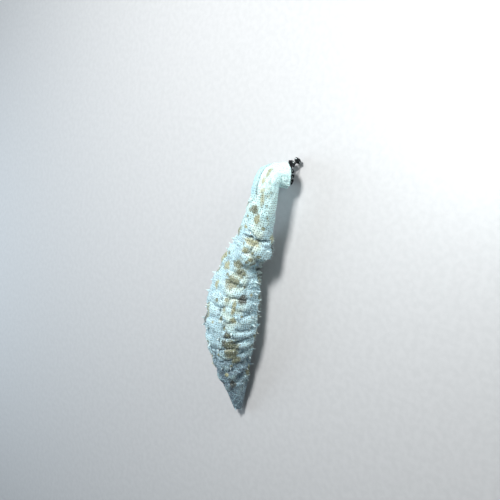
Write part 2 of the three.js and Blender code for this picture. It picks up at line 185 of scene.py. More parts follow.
SPOTS = (
    (248, 28), (255, 26), (251, 55), (243, 70), (242, 38), (220, 70), (184, 44), (183, 62), (175, 39),
    (174, 69), (123, 23), (102, 17), (87, 37), (78, 34), (72, 53), (112, -32), (76, -24), (232, 41),
    (230, 58), (210, 61), (119, -1), (93, 26), (107, 64), (132, 80), (178, 44), (224, -8), (217, -15),
    (140, 60), (148, 4), (96, -8), (64, 8), (50, 44), (40, 22), (190, 6), (206, -8), (168, -26),
)
# Blotches on the unseen sides: pairs here and below are the least and the spread
OWN_BLOTCHES = 46
OWN_ALONG_MM = (24, 200)
OWN_LEFT_DEGREES = (-42, -105)
OWN_RIGHT_DEGREES = (108, 32)
OWN_LENGTH_MM = (6, 9)
OWN_WIDTH_MM = (5, 7)
OWN_STRENGTH = 0.95

# Fields of colour
CREAM_DEGREES = 40
CREAM_FADES_DEGREES = (14, 34)
CREAM_BEGINS_MM = (84, 104)
CREAM_ENDS_MM = (205, 222)
PATCH_DEGREES = 82
PATCH_FADES_DEGREES = (18, 52)
PATCH_BEGINS_MM = (4, 12)
PATCH_ENDS_MM = (30, 40)
# The tail darkens towards its end: partly its greyer colour, partly painted shade
TAIL_GREY_AND_SHADE_ENDS_MM = (34, 88)
HEAD_BEGINS_MM = (196, 228)
BEND_BEGINS_MM = (238, 252)
UNDER_COSINES = (0.35, 0.85)
UNDER_ENDS_MM = (196, 220)
BLOTCH_FADES = (0.3, 1.65)

# The groove along the neck, beside the back's middle line, and the wrinkled strip beside it, whose blue
# tint is painted shade
GROOVE_COURSE_MM = (234, 240, 250, 258, 264)
GROOVE_COURSE_DEGREES = (11, 6, -4, -8, -10)
GROOVE_FROM_MM = 234.0
GROOVE_TO_MM = 266.0
GROOVE_FADES_IN_MM = 6
GROOVE_FADES_OUT_MM = 5
GROOVE_WIDTH_MM = 1.1
GROOVE_DEPTH_MM = 1.5
STRIP_HEIGHT_MM = 0.5
STRIP_LEFT_MM = (-15, -9)
STRIP_RIGHT_MM = (-2, -0.5)
WRINKLE_HEIGHT_MM = 0.16
WRINKLE_APART_MM = 1.9

# Papillae like those of the solids: degrees round, distance apart, first and last distance
PAPILLA_HEIGHT_MM = 3.6
PAPILLA_RADIUS_MM = 1.7
PAPILLA_RADIUS_SHARE = 0.85
PAPILLA_SUNK_MM = 1.0
PAPILLA_CLEAR_MM = 0.8
PAPILLA_DRIFT = 0.7
PAPILLA_SPREAD_DEGREES = 14
HEIGHT_SHARES = (0.75, 0.5)
PAPILLA_ROWS = (
    (-78, 7.5, 26, 176),
    (-58, 9.0, 30, 196),
    (-25, 17.0, 34, 168),
    (12, 19.0, 40, 172),
    (48, 17.0, 30, 180),
    (92, 9.0, 30, 196),
    (112, 7.5, 26, 186),
)
LENGTH_ENDS_MM = (0, 38, 78, 118, 158, 200, 244, 1000)
# Thin points low on the flanks
FLANK_ROWS_DEGREES = (-104, -95, -86, -68, 84, 100, 106, 118, 126)
FLANK_POINTS_A_ROW = 62
FLANK_FROM_MM = 22
FLANK_APART_MM = 2.9
FLANK_SPREAD_DEGREES = 6
FLANK_MISSING = 0.25
FLANK_HEIGHT_MM = (1.2, 1.3)
FLANK_RADIUS_MM = 0.55
FLANK_SUNK_MM = 0.6

# Warts
WART_APART_MM = 2.75
WART_DRIFT_MM = 1.3
WART_HEIGHT_MM = 0.22
WART_EXTRA_HEIGHT_MM = 0.38
WART_RADIUS_MM = (0.42, 0.22)
WART_SUNK_MM = 0.3

# Tube feet: rows in radians from straight down, and the standing ones' first and last distance
TUBE_FOOT_SUNK_MM = 2.5
TUBE_FOOT_ROWS = ((0.0, 14, 170), (-0.42, 20, 168), (0.42, 20, 168))
TUBE_FOOT_APART_MM = 8.5
TUBE_FOOT_RADIUS_MM = 1.3
FOOT_SIDES = 10
SHORT_FOOT_ROWS = (-0.62, -0.50, -0.36, -0.09, 0.09, 0.36, 0.50, 0.62)
SHORT_FEET_A_ROW = 34
SHORT_FEET_FROM_MM = 20
SHORT_FEET_APART_MM = 4.4
SHORT_FOOT_REACH_MM = (0.1, 1.4)
SHORT_FOOT_RADIUS_MM = (0.75, 0.35)

# The mouth, its disc and the ring of tentacles
ORAL_DISC_RADIUS_MM = 9.6
ORAL_DISC_THICKNESS_MM = 1.6
MEETING_GAP_MM = 0.3
OUTER_RING = {"count": 12, "root": 7.2, "ring": 8.5, "reach": 2.4, "stalk": 1.0, "leaf": 1.85}
INNER_RING = {"count": 8, "root": 3.6, "ring": 3.9, "reach": 2.4, "stalk": 0.85, "leaf": 1.25}
BUSH_ROWS = 34
REACHING = {
    0: (-38.9, -134.2, 7.6, 3.8),
    11: (-44.5, -137.9, 5.8, 3.4),
    1: (-32.6, -131.4, 5.0, 2.3),
}

# The photograph's view: height of the camera, how far the animal is turned, and the scale
CAMERA_ELEVATION = math.radians(48)
ANIMAL_TURN = math.radians(11)
MM_PER_PIXEL = 1.05
IMAGE_PIXELS = 500
CAMERA_AWAY_MM = 634.0
AIM_HEIGHT_MM = 20.0
AIM_PIXEL_Y_FROM_BODY_ORIGIN = -35


def scatter(first, second):
    by_first, by_second, shift, scale = SCATTER_WEIGHTS
    wave = np.sin(first * by_first + second * by_second + shift) * scale
    return wave - np.floor(wave)


def vary(least_and_spread, first, second):
    """A repeatable value between the least and the least with the whole spread."""
    least, spread = least_and_spread
    return least + spread * scatter(first, second)


def smooth(low, high, value):
    t = np.clip((value - low) / (high - low), 0, 1)
    return t * t * (3 - 2 * t)


def unit(vectors):
    return vectors / np.linalg.norm(vectors, axis=-1, keepdims=True)


def turns_round(sides):
    return np.arange(sides) / sides * 2 * math.pi


# The body's middle line and its directions

def walk_body():
    """Places, half widths, distances and directions along the middle line."""
    rows = []
    last = len(BODY_MM) - 1
    for piece in range(last):
        a = BODY_MM[max(0, piece - 1)]
        b = BODY_MM[piece]
        c = BODY_MM[piece + 1]
        d = BODY_MM[min(last, piece + 2)]
        steps = PATH_STEPS + 1 if piece == last - 1 else PATH_STEPS
        for step in range(steps):
            t = step / PATH_STEPS
            rows.append(
                (2 * t**3 - 3 * t**2 + 1) * b
                + (t**3 - 2 * t**2 + t) * (c - a) / 2
                + (3 * t**2 - 2 * t**3) * c
                + (t**3 - t**2) * (d - b) / 2
            )
    rows = np.array(rows)
    at = rows[:, :3] + ORIGIN_SHIFT_MM
    steps = np.linalg.norm(np.diff(at, axis=0), axis=1)
    distance = VENT_AT_MM + np.concatenate([[0], np.cumsum(steps)])
    forward = np.empty_like(at)
    upward = np.empty_like(at)
    up = np.array((0.0, 0.0, 1.0))
    for index in range(len(at)):
        ahead = at[min(len(at) - 1, index + 1)] - at[max(0, index - 1)]
        forward[index] = ahead / np.linalg.norm(ahead)
        up = up - forward[index] * up.dot(forward[index])
        up = up / np.linalg.norm(up)
        upward[index] = up
    return distance, at, rows[:, 3], forward, upward, np.cross(forward, upward)


WALK_DISTANCE, WALK_AT, WALK_HALF, WALK_FORWARD, WALK_UP, WALK_RIGHT = walk_body()
BODY_LENGTH = WALK_DISTANCE[-1]


def along(distance, values):
    """Values of the walk at any distances."""
    return np.stack([np.interp(distance, WALK_DISTANCE, values[:, k]) for k in range(3)], -1)


def half_at(distance):
    return np.interp(distance, WALK_DISTANCE, WALK_HALF)


def sole_at(distance):
    return smooth(*SOLE_BEGINS_MM, distance) * (1 - smooth(*SOLE_ENDS_MM, distance))


def head_at(distance):
    return smooth(BODY_LENGTH - RIM_FROM_MM, BODY_LENGTH - RIM_FULL_MM, distance)


def section_at(distance, angle):
    """Distance from the middle line to the smooth skin, in half widths."""
    upward = np.cos(angle)
    below = upward < 0
    tall = np.where(below, TALL * (1 - (1 - SOLE_DROP) * sole_at(distance)), TALL)
    power = 2 + np.where(below, SOLE_SQUARENESS * sole_at(distance), 0)
    power = power + HEAD_SQUARENESS * head_at(distance)
    total = (np.abs(upward) / tall) ** power + (np.abs(np.sin(angle)) / WIDE) ** power
    return total ** (-1 / power)


# Relief of the skin

def turn_between(angle, degrees_round):
    return (np.degrees(angle) - degrees_round + 540) % 360 - 180


def ripple(u, v, size, seed):
    """Smooth repeatable noise between -1 and 1 from a few crossed waves."""
    total = np.zeros_like(u)
    for k in range(RIPPLE_WAVES):
        way = RIPPLE_TURN * k + seed
        shift = RIPPLE_SHIFT * k + RIPPLE_SEED_SHIFT * seed
        length = size * (RIPPLE_SIZE + RIPPLE_SIZE_STEP * k)
        total += np.sin((u * math.cos(way) + v * math.sin(way)) * 2 * math.pi / length + shift)
    return total / RIPPLE_PEAK


def cell_seeds():
    """Middles of the puffy cells: distance along the body and angle round it."""
    seeds = []
    row = 0
    distance = CELLS_FROM_MM
    while distance < CELLS_TO_MM:
        around = max(5, int(round(2 * math.pi * half_at(distance) / CELL_ROUND_MM)))
        for index in range(around):
            drift = 0.5 * (row % 2) + 0.5 * (scatter(index, row + 3.0) - 0.5)
            seeds.append((
                distance + CELL_DRIFT_MM * (scatter(row, index + 17.0) - 0.5),
                (index + drift) / around * 2 * math.pi - math.pi,
            ))
        distance += CELL_APART_MM
        row += 1
    return np.array(seeds)


CELLS = cell_seeds()


def cell_edges(distance, angle):
    """How far each place is from the nearest edge between two cells, in millimetres."""
    half = half_at(distance)
    arc = angle * half
    bent = distance + CELL_WANDER_MM * ripple(distance, arc, 17, 1.0)
    bent = bent + CELL_FINE_WANDER_MM * ripple(distance, arc, 5, 2.0)
    aside = CELL_WANDER_MM * ripple(distance, arc, 19, 3.0)
    turned = angle + (aside + CELL_FINE_WANDER_MM * ripple(distance, arc, 6, 4.0)) / half
    nearest = np.full(distance.shape, 1e9)
    second = np.full(distance.shape, 1e9)
    for cell_distance, cell_angle in CELLS:
        sideways = (turned - cell_angle + math.pi) % (2 * math.pi) - math.pi
        apart = np.hypot((bent - cell_distance) * CELL_STRETCH_ALONG, sideways * half * CELL_STRETCH_ROUND)
        second = np.minimum(second, np.maximum(nearest, apart))
        nearest = np.minimum(nearest, apart)
    return second - nearest


def fold_relief(distance, angle):
    """Folds of the skin: a lip on the head's side and a narrow trough behind it, with a line of painted
    shade along the trough.
    """
    lift = np.zeros_like(distance)
    dark = np.zeros_like(distance)
    for start, degrees_round, reach, width, depth, slant in FOLDS:
        turn = turn_between(angle, degrees_round)
        waver = sum(size * np.sin(turn / degrees + times * start) for size, degrees, times in FOLD_WAVERS)
        behind = distance - (start + slant * turn / reach + waver)
        within = 1 - smooth(FOLD_FADES_FROM, 1, np.abs(turn) / reach)
        trough = np.exp(-((behind / width) ** 2))
        lip = np.where(behind > 0, 1 - np.exp(-behind / width), 0)
        lip = lip * np.exp(-np.maximum(behind, 0) / FOLD_LIP_REACH_MM)
        lift += within * (FOLD_LIP_SHARE * depth * lip - FOLD_TROUGH_SHARE * depth * trough)
        # A line of painted shade along the trough
        line = np.exp(-((behind / (FOLD_SHADE_WIDTH * width)) ** 2))
        dark = np.maximum(dark, within * line * min(1, depth / FOLD_SHADE_DEPTH_MM))
    return lift, dark


def bulge_relief(distance, angle):
    """Round-topped swellings of the skin."""
    lift = np.zeros_like(distance)
    half = half_at(distance)
    for middle, degrees_round, length, width, height in BULGES:
        sideways = np.radians(turn_between(angle, degrees_round)) * half
        apart = ((distance - middle) / (length / 2)) ** 2 + (sideways / (width / 2)) ** 2
        lift += height * np.exp(-(apart**1.5))
    return lift


def groove_relief(distance, angle):
    """The groove, its line as a mask for painted shade, and the strip beside it, whose blue tint is painted
    shade.
    """
    turn = turn_between(angle, np.interp(distance, GROOVE_COURSE_MM, GROOVE_COURSE_DEGREES))
    aside = np.radians(turn) * half_at(distance)
    ends = smooth(GROOVE_FROM_MM, GROOVE_FROM_MM + GROOVE_FADES_IN_MM, distance)
    ends = ends * (1 - smooth(GROOVE_TO_MM - GROOVE_FADES_OUT_MM, GROOVE_TO_MM, distance))
    line = np.exp(-((aside / GROOVE_WIDTH_MM) ** 2)) * ends
    shaded_strip = smooth(*STRIP_LEFT_MM, aside) * (1 - smooth(*STRIP_RIGHT_MM, aside)) * ends
    wrinkles = WRINKLE_HEIGHT_MM * np.sin(distance * 2 * math.pi / WRINKLE_APART_MM + 0.5 * aside) * shaded_strip
    return wrinkles - GROOVE_DEPTH_MM * line + STRIP_HEIGHT_MM * shaded_strip, line, shaded_strip


def relief(distance, angle):
    """Millimetres outward from the smooth body, with the masks that the colours use."""
    arc = angle * half_at(distance)
    ends = smooth(*RELIEF_BEGINS_MM, distance)
    trunk = ends * (1 - 0.8 * smooth(*TRUNK_ENDS_MM, distance))
    back = smooth(*BACK_COSINES, np.cos(angle))
    edge = cell_edges(distance, angle)
    puff = 1 - np.exp(-((edge / CELL_EDGE_MM) ** 1.25))
    broken = smooth(-0.45, 0.35, ripple(distance, arc, 34, 11.0))
    cells = CELL_HEIGHT_MM * (puff - CELL_MEAN) * trunk * (0.15 + 0.85 * back) * (0.35 + 0.65 * broken)
    twist = ROLL_TWIST_MM * np.sin(2 * angle)
    roll = ROLL_HEIGHT_MM * np.cos(2 * math.pi * (distance + twist) / ROLL_APART_MM)
    folds, fold_shade = fold_relief(distance, angle)
    groove, groove_shade, shaded_strip = groove_relief(distance, angle)
    swell = bulge_relief(distance, angle) * ends
    lumps = sum(height * ripple(distance, arc, size, seed) for height, size, seed in LUMPS)
    soft = smooth(*NECK_BEGINS_MM, distance) * NECK_HEIGHT_MM * ripple(distance, arc, 16, 7.0)
    soft = soft * (1 - smooth(*NECK_ENDS_MM, distance))
    lift = cells + swell + roll * trunk * back + folds * ends + groove + lumps * ends + soft - COAT_DEPTH_MM
    # Painted shade: the creases between cells, the folds' troughs and the groove's line are darkened in
    # colour
    crease_shade = (1 - smooth(*CREASE_SHADE_MM, edge)) * trunk * back * (0.15 + 0.85 * broken)
    # Painted highlight: the tops of the puffy cells on the back are paler
    cell_highlight = smooth(0.6, 0.97, puff) * back * ends * broken * (1 - smooth(*CELL_HIGHLIGHT_ENDS_MM, distance))
    masks = {
        "crease_shade": np.clip(np.maximum(np.maximum(crease_shade * 0.55, fold_shade), groove_shade), 0, 1),
        # Painted shade: this mask tints the strip blue
        "shaded_strip": shaded_strip,
        "cell_highlight": cell_highlight,
    }
    return lift, masks


def skin_point(distance, angle, lift=0.0):
    """Places on the finished skin in millimetres, for arrays of distances and angles."""
    outward, masks = relief(distance, angle)
    radius = half_at(distance) * section_at(distance, angle) + outward + lift
    place = along(distance, WALK_AT)
    place = place + along(distance, WALK_UP) * (radius * np.cos(angle))[..., None]
    place = place + along(distance, WALK_RIGHT) * (radius * np.sin(angle))[..., None]
    return place, masks


# Markings

def own_blotches():
    """Blotches on the sides that the photograph doesn't show, in the same sizes."""
    marks = []
    for index in range(OWN_BLOTCHES):
        on_the_right = index % 3 == 0
        side = OWN_RIGHT_DEGREES if on_the_right else OWN_LEFT_DEGREES
        marks.append((
            vary(OWN_ALONG_MM, index, 1.0),
            vary(side, index, 2.0),
            vary(OWN_LENGTH_MM, index, 3.0),
            vary(OWN_WIDTH_MM, index, 4.0),
            scatter(index, 5.0),
            OWN_STRENGTH,
        ))
    return tuple(marks)


def spots():
    """Small round spots, fainter towards the head."""
    marks = []
    for index, (distance, degrees_round) in enumerate(SPOTS):
        size = SPOT_MM * vary(SPOT_SHARES, index, 9.0)
        strength = 0.9 - 0.4 * smooth(205, 235, distance)
        marks.append((distance, degrees_round, size, size, 0.1 + 0.5 * scatter(index, 10.0), strength))
    return tuple(marks)


ALL_BLOTCHES = BLOTCHES + spots() + own_blotches()


def cream_at(distance, angle, arc):
    """A warmer band along the back's right side, broken by noise."""
    band = 1 - smooth(*CREAM_FADES_DEGREES, np.abs(turn_between(angle, CREAM_DEGREES)))
    band = band * smooth(*CREAM_BEGINS_MM, distance) * (1 - smooth(*CREAM_ENDS_MM, distance))
    return band * smooth(-0.7, 0.5, ripple(distance, arc, 14, 13.0))


def tail_patch(distance, angle, arc):
    """A paler patch on the tail's right side."""
    along_it = smooth(*PATCH_BEGINS_MM, distance) * (1 - smooth(*PATCH_ENDS_MM, distance))
    round_it = 1 - smooth(*PATCH_FADES_DEGREES, np.abs(turn_between(angle, PATCH_DEGREES)))
    return along_it * round_it * smooth(-0.9, 0.3, ripple(distance, arc, 9, 14.0))


def blotch_fields(distance, angle, arc):
    """How strong the blotches are at each place, and their hue."""
    half = half_at(distance)
    brown = np.zeros_like(distance)
    hue = np.zeros_like(distance)
    weight = np.full(distance.shape, 1e-6)
    ragged = 0.22 * ripple(distance, arc, 5, 8.0) + 0.12 * ripple(distance, arc, 2.2, 9.0)
    for middle, degrees_round, length, width, tone, strength in ALL_BLOTCHES:
        sideways = np.radians(turn_between(angle, degrees_round)) * half
        apart = np.hypot((distance - middle) / (length / 2), sideways / (width / 2))
        field = strength * (1 - smooth(*BLOTCH_FADES, apart + ragged))
        brown = np.maximum(brown, field)
        hue += tone * field
        weight += field
    return brown, hue / weight


def markings(distance, angle, masks):
    """The fields that the skin's colour is mixed from, each between 0 and 1."""
    arc = angle * half_at(distance)
    brown, hue = blotch_fields(distance, angle, arc)
    under = smooth(*UNDER_COSINES, -np.cos(angle)) * (1 - smooth(*UNDER_ENDS_MM, distance))
    return {
        "place": np.stack([distance, arc, np.zeros_like(arc)], -1),
        "brown": brown * (1 - 0.8 * under),
        "hue": hue,
        # Partly the tail's own grey and partly painted shade
        "tail_grey_and_shade": (1 - smooth(*TAIL_GREY_AND_SHADE_ENDS_MM, distance)) * (1 - 0.55 * tail_patch(distance, angle, arc)),
        "head": smooth(*HEAD_BEGINS_MM, distance),
        "cream": cream_at(distance, angle, arc),
        "bend": smooth(*BEND_BEGINS_MM, distance),
        "under": under,
        **masks,
    }


# Meshes from arrays

def put_in_scene(name, data):
    obj = bpy.data.objects.new(name, data)
    bpy.context.scene.collection.objects.link(obj)
    return obj


def make_mesh(name, points_mm, quads, triangles, fields, uv=None):
    """A mesh object from arrays; uv is one pair for each corner of the quads, then the triangles."""
    mesh = bpy.data.meshes.new(name)
    quads = np.asarray(quads, np.int32).reshape(-1, 4)
    triangles = np.asarray(triangles, np.int32).reshape(-1, 3)
    corners = np.concatenate([quads.ravel(), triangles.ravel()])
    sizes = np.concatenate([np.full(len(quads), 4), np.full(len(triangles), 3)])
    starts = np.concatenate([[0], np.cumsum(sizes)[:-1]])
    mesh.vertices.add(len(points_mm))
    mesh.vertices.foreach_set("co", (np.asarray(points_mm) * MM).astype(np.float32).ravel())
    mesh.loops.add(len(corners))
    mesh.loops.foreach_set("vertex_index", corners.astype(np.int32))
    mesh.polygons.add(len(sizes))
    mesh.polygons.foreach_set("loop_start", starts.astype(np.int32))
    mesh.polygons.foreach_set("use_smooth", np.ones(len(sizes), bool))
    mesh.update(calc_edges=True)
    for field, values in fields.items():
        kind, key = ("FLOAT_VECTOR", "vector") if field == "place" else ("FLOAT", "value")
        layer = mesh.attributes.new(field, kind, "POINT")
        layer.data.foreach_set(key, np.asarray(values, np.float32).ravel())
    if uv is not None:
        layer = mesh.uv_layers.new(name="OFBake")
        layer.uv.foreach_set("vector", np.asarray(uv, np.float32).ravel())
    mesh.validate()
    return put_in_scene(name, mesh)


def tube_faces(count, rings, sides, downward=False):
    """Quads of many tubes of rings, one after another in the points, and fans that close their ends."""
    first = np.arange(count)[:, None] * rings * sides
    last = first + (rings - 1) * sides
    low = first[..., None] + np.arange(rings - 1)[:, None] * sides
    here = np.arange(sides)
    there = (here + 1) % sides
    near = np.arange(1, sides - 1)
    far = near + 1
    if downward:
        here, there = there, here
        near, far = far, near
    quads = np.stack([low + here, low + there, low + sides + there, low + sides + here], -1)
    ends = ((last, near, far), (first, far, near))
    caps = [np.stack([middle + 0 * one, middle + one, middle + other], -1) for middle, one, other in ends]
    return quads.reshape(-1, 4), np.concatenate(caps).reshape(-1, 3)


def add_piece(obj, material):
    obj.data.materials.append(material)
    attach(obj, BODY_NAME)
    return obj


# The skin

VENT_ROWS = ((0.02, 3.0), (0.12, 1.6), (0.25, 0.2), (0.42, -0.9), (0.62, -1.2), (0.82, -0.8))
COLLAR_ROWS = ((0.985, 0.7), (0.94, 1.2), (0.88, 1.3), (0.82, 1.0), (0.77, 0.2), (0.74, -1.0),
               (0.70, -2.2), (0.4, -2.4), (0.02, -2.5))


def skin_rows():
    """Rows of the skin's grid: distance along, scale of the ring, and shift past the ring's plane."""
    vent = [(VENT_AT_MM, scale, shift) for scale, shift in VENT_ROWS]
    body = [(distance, 1.0, 0.0) for distance in np.linspace(VENT_AT_MM, BODY_LENGTH, RINGS)]
    collar = [(BODY_LENGTH, scale, shift) for scale, shift in COLLAR_ROWS]
    return np.array(vent + body + collar)


def skin_unwrap(row_count):
    """A pair for each corner of the skin's quads: rows run across the map and the turn runs up it."""
    row_u = np.linspace(UV_EDGE, 1 - UV_EDGE, row_count)
    turn_v = UV_EDGE + UV_SPAN * np.arange(POINTS_ROUND + 1) / POINTS_ROUND
    low, here = np.meshgrid(row_u[:-1], turn_v[:-1], indexing="ij")
    high, there = np.meshgrid(row_u[1:], turn_v[1:], indexing="ij")
    corners = ((low, here), (low, there), (high, there), (high, here))
    return np.stack([np.stack(corner, -1) for corner in corners], 2).reshape(-1, 2)


def make_skin():
    """One closed skin from the vent to the collar round the mouth."""
    rows = skin_rows()
    row_distance, scale, shift = rows.T[:, :, None]
    distance = np.repeat(row_distance, POINTS_ROUND, 1)
    angle = np.repeat(np.linspace(-math.pi, math.pi, POINTS_ROUND, endpoint=False)[None], len(rows), 0)
    place, masks = skin_point(distance, angle)
    middle = along(distance, WALK_AT)
    scalloped = smooth(0.7, 0.9, scale) * (scale < 1)
    scallop = 1 + SCALLOP_DEPTH * np.sin(SCALLOPS * angle) * scalloped
    place = middle + (place - middle) * (scale * scallop)[..., None]
    place = place + along(distance, WALK_FORWARD) * shift[..., None]
    inner = ((scale < THROAT_SCALE) & (row_distance > 0)).astype(float)
    fields = markings(distance, angle, masks)
    fields["tip"] = np.zeros_like(distance)
    fields["inner"] = np.repeat(inner, POINTS_ROUND, 1)
    quads, caps = tube_faces(1, len(rows), POINTS_ROUND)
    cap_uv = np.tile(np.array([[0.002, 0.002], [0.004, 0.002], [0.004, 0.004]]), (len(caps), 1))
    uv = np.concatenate([skin_unwrap(len(rows)), cap_uv])
    return make_mesh("skin", place.reshape(-1, 3), quads, caps, fields, uv)


def skin_uv(distance, angle):
    """Where a place on the skin lies on its unwrap."""
    rows = skin_rows()
    body_first = np.argmax(rows[:, 1] == 1.0)
    row = body_first + (distance - VENT_AT_MM) / (BODY_LENGTH - VENT_AT_MM) * (RINGS - 1)
    u = UV_EDGE + UV_SPAN * row / (len(rows) - 1)
    v = UV_EDGE + UV_SPAN * ((angle + math.pi) % (2 * math.pi)) / (2 * math.pi)
    return np.stack([u, v], -1)


# Small things that grow from the skin

def mesh_of_roots(name, points, tips, distance, angle, masks, offsets, downward=False):
    """One mesh of many small closed tubes, with the skin's fields and unwrap at their roots."""
    quads, caps = tube_faces(*tips.shape, downward)
    at_roots = markings(distance, angle, masks)
    fields = {
        field: np.broadcast_to(values[:, None, None], tips.shape + values.shape[1:])
        for field, values in at_roots.items()
    }
    fields["tip"] = tips
    fields["inner"] = np.zeros_like(tips)
    offsets = np.broadcast_to(offsets, (*tips.shape, 2))
    point_uv = skin_uv(distance, angle)[:, None, None] + ROOT_PATCH_UV * offsets
    corners = np.concatenate([quads.reshape(-1), caps.reshape(-1)])
    return make_mesh(name, points.reshape(-1, 3), quads, caps, fields, point_uv.reshape(-1, 2)[corners])


def root_frames(distance, angle):
    """Roots on the skin, its masks there, two directions in its plane and the way out of it."""
    step = 0.4
    roots, masks = skin_point(distance, angle)
    ahead, _ = skin_point(distance + step, angle)
    beside, _ = skin_point(distance, angle + step / half_at(distance))
    first = unit(ahead - roots)
    normal = unit(np.cross(first, beside - roots))
    outward = roots - along(distance, WALK_AT)
    normal *= np.sign(np.einsum("ij,ij->i", normal, outward))[:, None]
    return roots, masks, first, np.cross(normal, first), normal


def grow(name, distance, angle, heights, radii, profile, sides, sunk, tips=1.0, lean=0.0):
    """Joined cones or warts: one turned outline at each root, all in one mesh."""
    roots, masks, first, second, normal = root_frames(distance, angle)
    axis = unit(normal + lean)
    count = len(roots)
    radii = np.broadcast_to(radii, count)
    wheel = turns_round(sides)[None] + (scatter(np.arange(count), 41.0) * 6)[:, None]
    circle = np.stack([np.cos(wheel), np.sin(wheel)], -1)
    spokes = first[:, None] * circle[..., :1] + second[:, None] * circle[..., 1:]
    points = []
    fractions = []
    for radius_share, height_share, tip_share in profile:
        level = -sunk + (heights + sunk) * height_share
        centre = roots + axis * level[:, None]
        points.append(centre[:, None] + spokes * (radii * radius_share)[:, None, None])
        fractions.append(np.full((count, sides), tip_share))
    tips = np.stack(fractions, 1) * np.broadcast_to(tips, count)[:, None, None]
    inward = np.array([1 - height_share for _, height_share, _ in profile])[:, None, None]
    offsets = inward * circle[:, None]
    return mesh_of_roots(name, np.stack(points, 1), tips, distance, angle, masks, offsets)


CONE = ((1.25, 0.0, 0.0), (1.12, 0.22, 0.0), (0.82, 0.36, 0.1), (0.60, 0.52, 0.3), (0.44, 0.68, 0.6),
        (0.30, 0.83, 0.9), (0.17, 0.94, 1.0), (0.05, 1.0, 1.0))
WART = ((1.0, 0.0, 0.0), (0.92, 0.45, 0.3), (0.66, 0.78, 0.9), (0.25, 1.0, 1.0))


def papilla_places():
    """Where cones stand, by the solids' rule with a little more room beside each cut."""
    places = []
    clear = PAPILLA_RADIUS_MM + PAPILLA_CLEAR_MM
    for row, (degrees_round, apart, start, end) in enumerate(PAPILLA_ROWS):
        for index in range(int((end - start) // apart)):
            place = start + (index + PAPILLA_DRIFT * scatter(index, row)) * apart
            if all(abs(place - cut) > clear for cut in LENGTH_ENDS_MM):
                turn = degrees_round + PAPILLA_SPREAD_DEGREES * (scatter(row + 9, index) - 0.5)
                height = PAPILLA_HEIGHT_MM * vary(HEIGHT_SHARES, index + 31, row)
                places.append((place, math.radians(turn), height))
    return np.array(places).T


def make_papillae():
    distance, angle, height = papilla_places()
    radius = PAPILLA_RADIUS_MM * PAPILLA_RADIUS_SHARE
    return grow("papillae", distance, angle, height, radius, CONE, 10, PAPILLA_SUNK_MM)


def make_flank_points():
    """Thin pale points in rows low on both flanks, with some left out by chance."""
    places = []
    for row, degrees_round in enumerate(FLANK_ROWS_DEGREES):
        for index in range(FLANK_POINTS_A_ROW):
            place = FLANK_FROM_MM + (index + 0.8 * scatter(index, row + 50.0)) * FLANK_APART_MM
            turn = degrees_round + FLANK_SPREAD_DEGREES * (scatter(row + 60.0, index) - 0.5)
            places.append((place, math.radians(turn)))
    places = np.array(places)
    distance, angle = places[scatter(np.arange(len(places)), 71.0) > FLANK_MISSING].T
    height = vary(FLANK_HEIGHT_MM, np.arange(len(distance)), 72.0)
    return grow("flank_points", distance, angle, height, FLANK_RADIUS_MM, CONE, 7, FLANK_SUNK_MM)


def ring_of_points(name, distance, count, height, radius, lean_along):
    """Small cones in one ring round the body, all leaning the same way along it."""
    index = np.arange(count)
    angle = (index + 0.4 * (scatter(index, 140.0) - 0.5)) / count * 2 * math.pi
    places = np.full(count, distance)
    heights = height * vary(HEIGHT_SHARES, index, 141.0)
    lean = along(places, WALK_FORWARD) * lean_along
    return grow(name, places, angle, heights, radius, CONE, 8, 0.7, lean=lean)


def wart_places():
    """Rows round the body, moved a little by chance and left off the sole."""
    distance = []
    angle = []
    for row, place in enumerate(np.arange(1, BODY_LENGTH - 2, WART_APART_MM)):
        around = max(8, int(round(2 * math.pi * half_at(place) / WART_APART_MM)))
        index = np.arange(around)
        turn = (index + 0.5 * (row % 2) + 0.55 * (scatter(index, row + 80.0) - 0.5)) / around
        distance.append(place + WART_DRIFT_MM * (scatter(index, row + 90.0) - 0.5))
        angle.append(turn * 2 * math.pi - math.pi)
    distance = np.concatenate(distance)
    angle = np.concatenate(angle)
    above = np.cos(angle) > -0.8
    return distance[above], angle[above]


def make_warts():
    """Low warts all over the back and flanks, lower towards the head."""
    distance, angle = wart_places()
    index = np.arange(len(distance))
    chance = scatter(index, 91.0)
    height = WART_HEIGHT_MM + WART_EXTRA_HEIGHT_MM * chance**2
    height = height * (1 - 0.45 * smooth(205, 235, distance))
    radius = vary(WART_RADIUS_MM, index, 92.0)
    return grow("warts", distance, angle, height, radius, WART, 6, WART_SUNK_MM, 0.25 + 0.75 * chance)


# Tube feet

FOOT = ((1.0, 0.0, 0.2), (0.72, 0.15, 0.2), (0.62, 0.45, 0.2), (0.66, 0.72, 0.3), (1.0, 0.86, 0.7),
        (1.12, 0.94, 1.0), (1.08, 1.0, 1.0))


def feet_mesh(name, distance, side, reach, radius):
    """Upright feet: reach is how high above the floor each foot ends."""
    angle = math.pi - side
    roots, masks = skin_point(distance, angle, -TUBE_FOOT_SUNK_MM)
    radius = np.broadcast_to(radius, len(roots))
    turns = turns_round(FOOT_SIDES)
    circle = np.stack([np.cos(turns), np.sin(turns), np.zeros(FOOT_SIDES)], -1)
    points = []
    tips = []
    for radius_share, height_share, tip_share in FOOT:
        level = roots[:, 2] * (1 - height_share) + reach * height_share
        centre = np.stack([roots[:, 0], roots[:, 1], level], -1)
        points.append(centre[:, None] + circle[None] * (radius * radius_share)[:, None, None])
        tips.append(np.full((len(roots), FOOT_SIDES), tip_share))
    return mesh_of_roots(name, np.stack(points, 1), np.stack(tips, 1), distance, angle, masks,
                         circle[:, :2], downward=True)


def make_standing_feet():
    """Feet that reach the floor, in three bands."""
    places = []
    for side, start, end in TUBE_FOOT_ROWS:
        for index in range(int((end - start) // TUBE_FOOT_APART_MM)):
            places.append((start + (index + 0.5) * TUBE_FOOT_APART_MM, side))
    distance, side = np.array(places).T
    return feet_mesh("standing_feet", distance, side, 0.0, TUBE_FOOT_RADIUS_MM)


